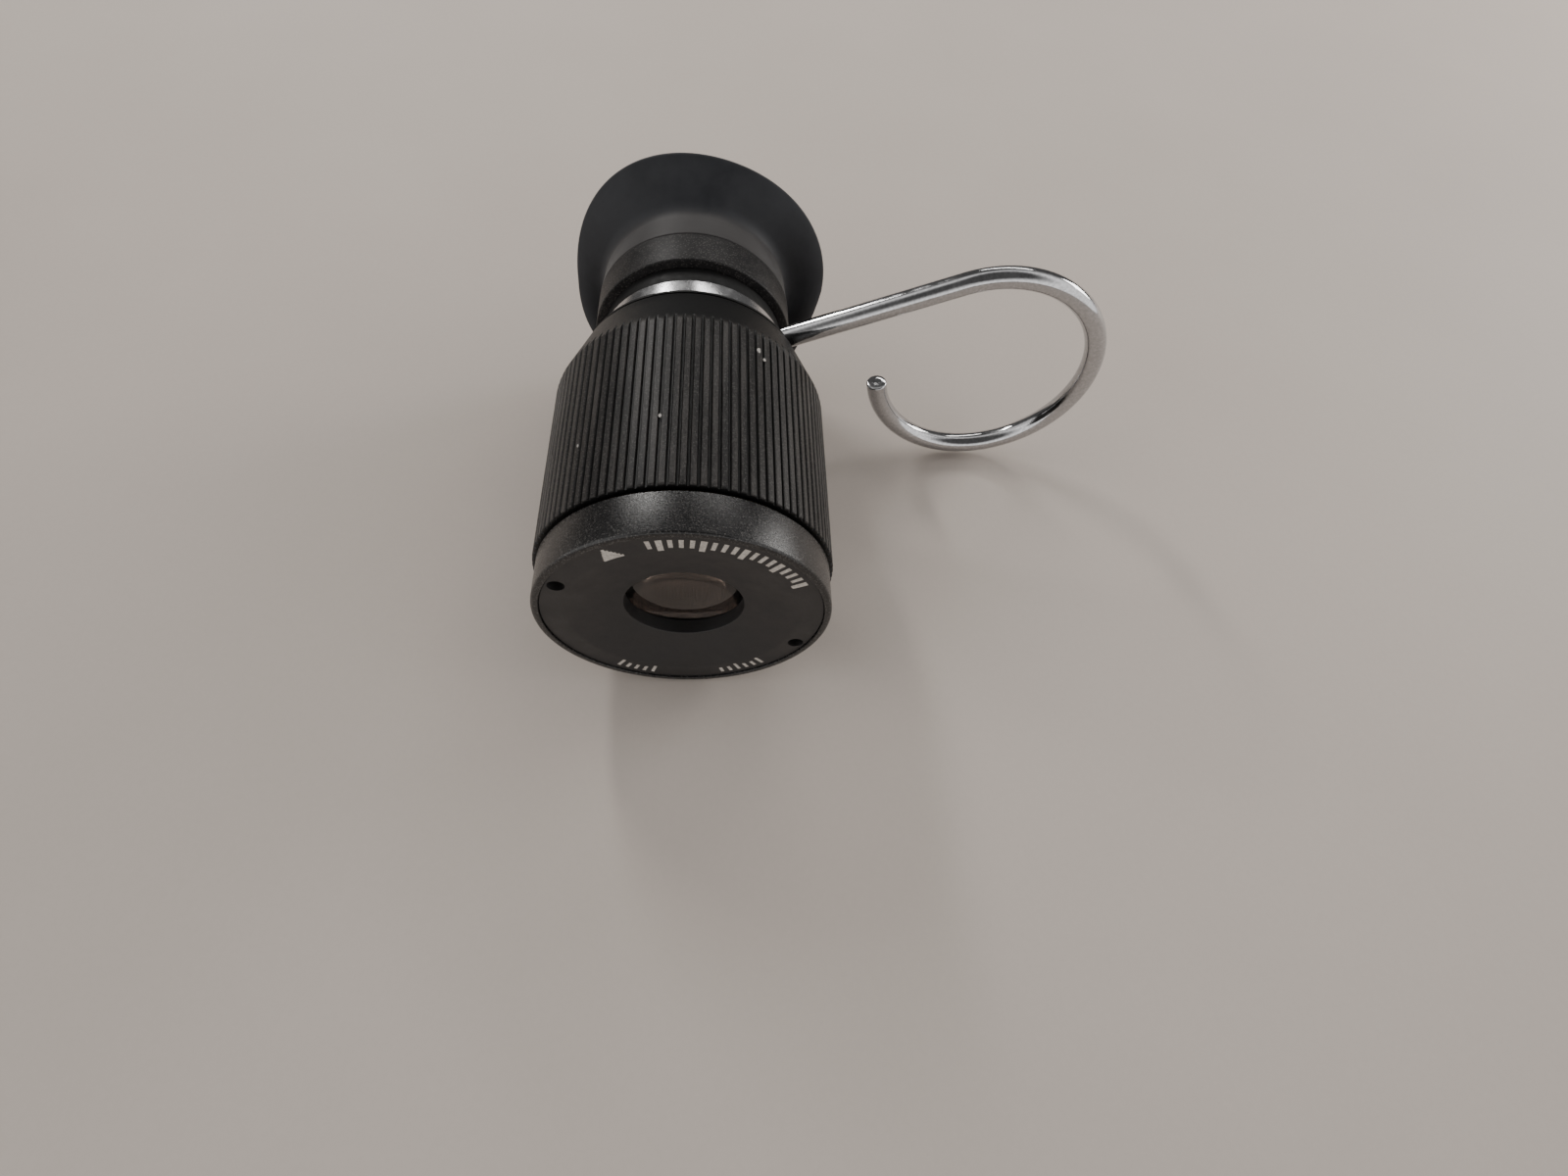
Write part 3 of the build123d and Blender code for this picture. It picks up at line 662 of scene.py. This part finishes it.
def focus_sleeve():
    """Knurled sleeve: the ribs run out on the cone at the back and on the chamfer at the front."""
    angles, depths = [], []
    for rib in range(RIB_COUNT):
        for share, depth in RIB_SHAPE:
            angles.append(2 * math.pi * (rib + share) / RIB_COUNT)
            depths.append(depth)
    crest_line = CREST_R - RIB_DEPTH * np.array(depths)
    cone_slope = (CREST_R - SLEEVE_REAR_R) / (sleeve_high.y - KNURL_END_Y)

    def cone_r(y):
        return CREST_R - cone_slope * (y - KNURL_END_Y)

    outer = [(CREST_R - 0.16, sleeve_low.y), (CREST_R - 0.06, sleeve_low.y + 0.03)]
    outer += [(CREST_R - 0.01, sleeve_low.y + 0.09), (CREST_R, sleeve_low.y + 0.18)]
    outer += [(CREST_R, y) for y in np.linspace(sleeve_low.y + 1, KNURL_END_Y - 0.2, 8)]
    run_out = [KNURL_END_Y + 0.15 * step for step in range(12)]
    cone_end_y = sleeve_high.y - 0.45
    outer += [(cone_r(y), y) for y in (*run_out, 27.0, 28.5, cone_end_y)]
    ribbed = len(outer)
    rear_r = cone_r(cone_end_y)
    inner = [
        (rear_r - 0.18, sleeve_high.y - 0.12),
        (rear_r - 0.42, sleeve_high.y),
        (JOURNAL_BORE_R + 0.15, sleeve_high.y),
        (JOURNAL_BORE_R, sleeve_high.y - 0.15),
        (JOURNAL_BORE_R, THRUST_Y),
        (SLEEVE_BORE_R, THRUST_Y),
        (SLEEVE_BORE_R, COUNTERBORE_Y),
        (COUNTERBORE_R, COUNTERBORE_Y),
        (COUNTERBORE_R, sleeve_low.y + 0.12),
        (COUNTERBORE_R + 0.12, sleeve_low.y),
    ]

    def radius_at(radius, index):
        return np.minimum(radius, crest_line) if index < ribbed else radius

    piece = lathe("knurled_focus_sleeve", outer + inner, np.array(angles), radius_at)
    finish_piece(piece, "focus_sleeve", SLEEVE_LOOK)


focus_sleeve()


def fleck(name, turn_deg, y, length, width, height, seed):
    """Tiny uneven scrap lying on the rib crests, with a rough outline."""
    draw = np.random.default_rng(seed)
    steps, levels = 28, 5
    edge = 1 + 0.22 * np.convolve(draw.normal(size=steps + 4), np.ones(5) / 5, "valid")
    vertices = []
    for level in range(levels):
        rise = 0.5 * math.pi * level / levels
        radius = CREST_R - 0.02 + height * math.sin(rise)
        for step in range(steps):
            angle = 2 * math.pi * step / steps
            reach = math.cos(rise) * edge[step] / 2
            along = length * reach * math.cos(angle)
            around = math.radians(turn_deg) + width * reach * math.sin(angle) / CREST_R
            vertices.append((radius * math.cos(around), y + along, radius * math.sin(around)))
    faces = []
    for level in range(levels - 1):
        for step in range(steps):
            after = (step + 1) % steps
            here, there = level * steps, (level + 1) * steps
            faces.append((here + step, here + after, there + after, there + step))
    faces += [tuple(range(steps)), tuple(range((levels - 1) * steps, levels * steps))]
    ride_along(mesh_piece(name, vertices, faces, 60), "focus_sleeve", BARE_CHIP)


# Two chips near the ends of the ribs and two bits of lint further forward.
fleck("sleeve_chip_a", 60.5, 21.7, 0.75, 0.42, 0.07, 3)
fleck("sleeve_chip_b", 58.0, 20.7, 0.45, 0.36, 0.06, 4)
fleck("sleeve_lint_a", 97.0, 10.8, 0.5, 0.3, 0.06, 5)
fleck("sleeve_lint_b", 130.0, 10.0, 0.4, 0.26, 0.05, 6)


# -------------------------------------------------------------------------------------- finger ring
hub_low, hub_high = box_mm("finger_ring_hub")
wire_low, wire_high = box_mm("finger_ring_wire")
HUB_BORE_R = 10.55
WIRE_R = (wire_high.y - wire_low.y) / 2
WIRE_Y = (wire_high.y + wire_low.y) / 2
LOOP_R = 13.76
LOOP_ARC = math.radians(200)
TAIL_R = 13.2  # the loop closes in a little before its cut end
TAIL_ARC = math.radians(84)
STEM_TILT = math.radians(22.6)
STEM_REACH = 33.6  # from the optical axis to the point where the stem meets the loop
STEM_ROOT_R = HUB_BORE_R + 0.1
TIP_BEVEL = 0.16


def finger_hub():
    """Chromed ring that carries the wire."""
    outline = rounded(
        [
            (HUB_BORE_R, hub_low.y, 0.1),
            (hub_high.z, hub_low.y, 0.25),
            (hub_high.z, hub_high.y, 0.25),
            (HUB_BORE_R, hub_high.y, 0.1),
        ],
        steps=8,
    )
    finish_piece(lathe("finger_ring_hub_band", outline), "finger_ring_hub", HUB_CHROME)


def finger_wire():
    """Round wire: a straight stem out of the hub and a loop that turns back towards it, cut off flat."""
    sides, stem_steps, loop_steps = 48, 12, 180
    out = Vector((math.cos(STEM_TILT), 0, math.sin(STEM_TILT)))
    up = Vector((-math.sin(STEM_TILT), 0, math.cos(STEM_TILT)))
    across = Vector((0, 1, 0))

    def spoke(turn):
        return up * math.cos(turn) + out * math.sin(turn)

    stations = []
    for step in range(stem_steps + 1):
        reach = STEM_ROOT_R + (STEM_REACH - STEM_ROOT_R) * step / stem_steps
        stations.append((out * reach + across * WIRE_Y, up, WIRE_R))
    middle = out * STEM_REACH - up * LOOP_R + across * WIRE_Y
    tail_middle = middle + spoke(LOOP_ARC) * (LOOP_R - TAIL_R)
    end_turn = LOOP_ARC + TAIL_ARC
    for step in range(1, loop_steps):
        turn = end_turn * step / loop_steps
        radial = spoke(turn)
        centre = middle + radial * LOOP_R if turn <= LOOP_ARC else tail_middle + radial * TAIL_R
        stations.append((centre, radial, WIRE_R))
    radial = spoke(end_turn)
    tip = tail_middle + radial * TAIL_R
    end_way = out * math.cos(end_turn) - up * math.sin(end_turn)
    bevelled = [(TIP_BEVEL, 0), (TIP_BEVEL * 0.35, TIP_BEVEL * 0.3), (0, TIP_BEVEL)]
    dimpled = [(0, WIRE_R * 0.6), (0.03, WIRE_R * 0.93)]
    for back, inset in bevelled + dimpled:
        stations.append((tip - end_way * back, radial, WIRE_R - inset))

    vertices, faces = [], []
    for centre, side, radius in stations:
        for step in range(sides):
            angle = 2 * math.pi * step / sides
            vertices.append(tuple(centre + radius * (math.cos(angle) * side + math.sin(angle) * across)))
    for index in range(len(stations) - 1):
        here, there = index * sides, (index + 1) * sides
        for step in range(sides):
            after = (step + 1) % sides
            faces.append((here + step, here + after, there + after, there + step))
    faces.append(tuple(range(sides)))
    faces.append(tuple(range((len(stations) - 1) * sides, len(stations) * sides)))
    finish_piece(mesh_piece("finger_ring_loop", vertices, faces, 50), "finger_ring_wire")


finger_hub()
finger_wire()


# ----------------------------------------------------------------------------------------- eyepiece
housing_low, housing_high = box_mm("eyepiece_housing")
cup_low, cup_high = box_mm("eyecup")
lock_low, lock_high = box_mm("hub_lock_ring")
LOCK_BORE_R = 10.52
EYE_BAND_R = housing_high.x
EYE_BAND_FRONT_Y = 37.7
EYE_BAND_REAR_Y = 42.3
EYE_NECK_R = 9.38
EYE_BOSS_R = 10.8
EYE_BORE_R = 7.6
EYE_LIP_R = 6.2
EYE_BORE_FRONT_Y = 34.0
CUP_GROOVE = (43.4, 44.9, 10.3)  # front, rear and floor radius of the groove that holds the eyecup
EYE_LENS_R = 7.5


def hub_lock():
    """Narrow black ring behind the hub."""
    outline = rounded(
        [
            (LOCK_BORE_R, lock_low.y),
            (lock_high.x, lock_low.y),
            (lock_high.x, lock_high.y),
            (LOCK_BORE_R, lock_high.y),
        ]
    )
    finish_piece(lathe("hub_lock_band", outline), "hub_lock_ring", DEEP_BLACK)


def eyepiece_housing():
    """Smooth band in front of the eyecup, with the boss and groove that the cup is pushed on to."""
    outline = rounded(
        [
            (EYE_LIP_R, housing_low.y),
            (EYE_NECK_R, housing_low.y),
            (EYE_NECK_R, EYE_BAND_FRONT_Y, 0),
            (EYE_BAND_R, EYE_BAND_FRONT_Y, 0.18),
            (EYE_BAND_R, EYE_BAND_REAR_Y, 0.08),
            (EYE_BOSS_R, EYE_BAND_REAR_Y, 0),
            (EYE_BOSS_R, CUP_GROOVE[0], 0),
            (CUP_GROOVE[2], CUP_GROOVE[0], 0),
            (CUP_GROOVE[2], CUP_GROOVE[1], 0),
            (EYE_BOSS_R, CUP_GROOVE[1], 0),
            (EYE_BOSS_R, housing_high.y),
            (EYE_BORE_R, housing_high.y),
            (EYE_BORE_R, EYE_BORE_FRONT_Y, 0),
            (EYE_LIP_R, EYE_BORE_FRONT_Y, 0),
        ]
    )
    finish_piece(lathe("eyepiece_band", outline), "eyepiece_housing")


hub_lock()
eyepiece_housing()
lens("field_lens_glass", "field_lens", EYE_LENS_R, (34.02, 0), (37.2, -14))
lens("eye_flint_glass", "eye_flint_lens", EYE_LENS_R, (41.3, 0), (42.1, 15))
lens("eye_crown_glass", "eye_crown_lens", EYE_LENS_R, (42.11, 15), (46.3, -18))

FLOOR_Z = -CREST_R
CUP_WAIST = (11.6, 47.4)
CUP_RIM = (16.25, 51.15)
CUP_RIM_REAR = (15.75, 52.0)
CUP_THROAT = (10.9, 48.6)
CUP_MOUTH_R = 9.4
CUP_STEP = 0.8  # the outline is cut about this finely, so that it can bend
# The rubber is bent by the table. The bend grows from the free neck out to the bead of the rim.
CUP_FREE_Y = 46
CUP_NECK_R = 11.4
CUP_BEAD_R = 16.0
CUP_SHIFT = -2.6  # the rim as a whole sits this much further forward than the undistorted cup's
CUP_LEAN = 0.24  # how far the rim leans back for each millimetre above the axis
CUP_YAW = -0.03  # and for each millimetre to the right of it
CUP_LEAN_FLOOR = -9.0  # no more lean below this height
CUP_DROP = 0.20
CUP_SIDESTEP = 0.08
CUP_SWELL = ((2, -0.01, 0.63), (3, 0.56, 0.32))  # lobes round the rim, and their cosine and sine parts
CUP_SWELL_FADE = 9  # the lobes fade out over this much height below the axis
CUP_FLAT = 0.8  # the rim is pressed flat over this much height at the table
CUP_CLEARANCE = 0.03  # between the flattened rim and the table


def bent(x, y, z):
    """Where a point of the undistorted cup ends up."""
    radius, turn = math.hypot(x, z), math.atan2(z, x)
    share = min(1.0, max(0.0, (radius - CUP_NECK_R) / (CUP_BEAD_R - CUP_NECK_R))) if y > CUP_FREE_Y else 0.0
    share = share * share * (3 - 2 * share)
    upper = min(1.0, max(0.0, (z + CUP_SWELL_FADE) / CUP_SWELL_FADE))
    swell = sum(a * math.cos(lobes * turn) + b * math.sin(lobes * turn) for lobes, a, b in CUP_SWELL)
    radius += share * upper * swell
    x = radius * math.cos(turn) + CUP_SIDESTEP * share
    z = radius * math.sin(turn) - CUP_DROP * share
    y += share * (CUP_SHIFT + CUP_YAW * x + CUP_LEAN * max(z, CUP_LEAN_FLOOR))
    flat_from = FLOOR_Z + CUP_CLEARANCE + CUP_FLAT
    if z < flat_from:
        z = FLOOR_Z + CUP_CLEARANCE + CUP_FLAT * math.exp((z - flat_from) / CUP_FLAT)
    return Vector((x, y, z))


def eyecup():
    """Flared rubber cup. Its rim rests on the table, which pushes the lower side forward and flat."""
    outline = rounded(
        [
            (EYE_BOSS_R + 0.02, cup_low.y, 0),
            (EYE_BAND_R, cup_low.y, 0.25),
            (*CUP_WAIST, 2.4),
            (*CUP_RIM, 0.3),
            (*CUP_RIM_REAR, 0.3),
            (*CUP_THROAT, 1.5),
            (CUP_MOUTH_R, CUP_THROAT[1], 0.4),
            (CUP_MOUTH_R, housing_high.y + 0.02, 0.1),
            (EYE_BOSS_R + 0.02, housing_high.y + 0.02, 0),
            (EYE_BOSS_R + 0.02, CUP_GROOVE[1] - 0.05, 0),
            (CUP_GROOVE[2] + 0.05, CUP_GROOVE[1] - 0.05, 0),
            (CUP_GROOVE[2] + 0.05, CUP_GROOVE[0] + 0.05, 0),
            (EYE_BOSS_R + 0.02, CUP_GROOVE[0] + 0.05, 0),
        ],
        steps=10,
    )
    refined = []
    for index, here in enumerate(outline):
        after = outline[(index + 1) % len(outline)]
        pieces = max(1, int(math.dist(here, after) / CUP_STEP))
        for step in range(pieces):
            share = step / pieces
            refined.append(
                (here[0] + (after[0] - here[0]) * share, here[1] + (after[1] - here[1]) * share)
            )
    piece = lathe("flared_eyecup", refined)
    for vertex in piece.data.vertices:
        vertex.co = bent(*(vertex.co / MM)) * MM
    finish_piece(piece, "eyecup")


eyecup()


# ------------------------------------------------------------------------------ stage, light, camera
def stage_floor():
    """Plain table under the instrument."""
    half = 700
    z = FLOOR_Z - 0.02
    corners = [(-half, -half, z), (half, -half, z), (half, half, z), (-half, half, z)]
    floor = mesh_piece("floor", corners, [(0, 1, 2, 3)])
    floor.data.materials.append(table_top())


# Direction of each dark part of the room, and the cosines at which it begins and is fully dark.
DARK_CEILING = ((0.05, -0.50, 0.86), 0.62, 0.90)
DARK_WALL = ((0, 1, 0), -0.05, 0.56)
ROOM_LEVEL = 1.55
DIM_LEVEL = 0.11
# Name, the directions of its two ends, distance, width and power.
LAMPS = (
    ("strip_left", (-0.39, 0.57, 0.72), (-0.35, 0.82, 0.48), 500, 45, 0.68),
    ("strip_right", (0.50, 0.57, 0.64), (0.04, 0.82, 0.57), 500, 40, 0.32),
    ("panel_right", (0.95, 0.20, 0.24), (0.80, 0.50, 0.34), 460, 120, 0.60),
)


def soft_light(name, first_way, last_way, distance_mm, width_mm, power):
    """Long area light that reaches from one direction to another and faces the object."""
    first, last = (Vector(way).normalized() * distance_mm for way in (first_way, last_way))
    along = (last - first).normalized()
    back = ((first + last) / 2).normalized()
    side = back.cross(along).normalized()
    data = bpy.data.lights.new(name, "AREA")
    data.shape = "RECTANGLE"
    data.size, data.size_y = (last - first).length * MM, width_mm * MM
    data.energy = power
    data.color = (1, 0.98, 0.95)
    lamp = bpy.data.objects.new(name, data)
    centre = (first + last) / 2 + Vector((0, 20, 0))
    frame_axes = Matrix((side.cross(back), side, back)).transposed().to_4x4()
    lamp.matrix_world = Matrix.Translation(centre * MM) @ frame_axes
    bpy.context.scene.collection.objects.link(lamp)


def room():
    """Even pale room, dim behind the object and in front of it overhead, with two strips and a panel."""
    world = bpy.data.worlds.new("room")
    bpy.context.scene.world = world
    world.use_nodes = True
    tree = world.node_tree
    way = tree.nodes.new("ShaderNodeTexCoord")
    dark = []
    for towards, start, full in (DARK_CEILING, DARK_WALL):
        dot = tree.nodes.new("ShaderNodeVectorMath")
        dot.operation = "DOT_PRODUCT"
        dot.inputs[1].default_value = towards
        tree.links.new(way.outputs["Generated"], dot.inputs[0])
        fade = tree.nodes.new("ShaderNodeMapRange")
        fade.interpolation_type = "SMOOTHSTEP"
        levels = {"From Min": start, "From Max": full, "To Min": ROOM_LEVEL, "To Max": DIM_LEVEL}
        for socket, number in levels.items():
            fade.inputs[socket].default_value = number
        tree.links.new(dot.outputs["Value"], fade.inputs["Value"])
        dark.append(fade.outputs["Result"])
    least = tree.nodes.new("ShaderNodeMath")
    least.operation = "MINIMUM"
    for socket, level in zip(least.inputs, dark):
        tree.links.new(level, socket)
    background = tree.nodes["Background"]
    background.inputs["Color"].default_value = (1.0, 0.985, 0.97, 1)
    tree.links.new(least.outputs["Value"], background.inputs["Strength"])
    for lamp in LAMPS:
        soft_light(*lamp)


CAMERA_AT = Vector((4.81, -42.6, 72.45))
CAMERA_WAY = Vector((0.0642, 0.5168, -0.8537))
CAMERA_UP = Vector((-0.0014, 0.8555, 0.5178))
SENSOR_WIDTH = 36
LENS_LENGTH = 18.72


def camera():
    """Seen from in front and above, close to, so that the front end looks larger."""
    data = bpy.data.cameras.new("camera")
    data.sensor_width = SENSOR_WIDTH
    data.lens = LENS_LENGTH
    data.clip_start = 0.002
    view = bpy.data.objects.new("camera", data)
    back = -CAMERA_WAY.normalized()
    right = CAMERA_UP.cross(back).normalized()
    up = back.cross(right)
    view.matrix_world = Matrix.Translation(CAMERA_AT * MM) @ Matrix((right, up, back)).transposed().to_4x4()
    bpy.context.scene.collection.objects.link(view)
    bpy.context.scene.camera = view


stage_floor()
room()
camera()
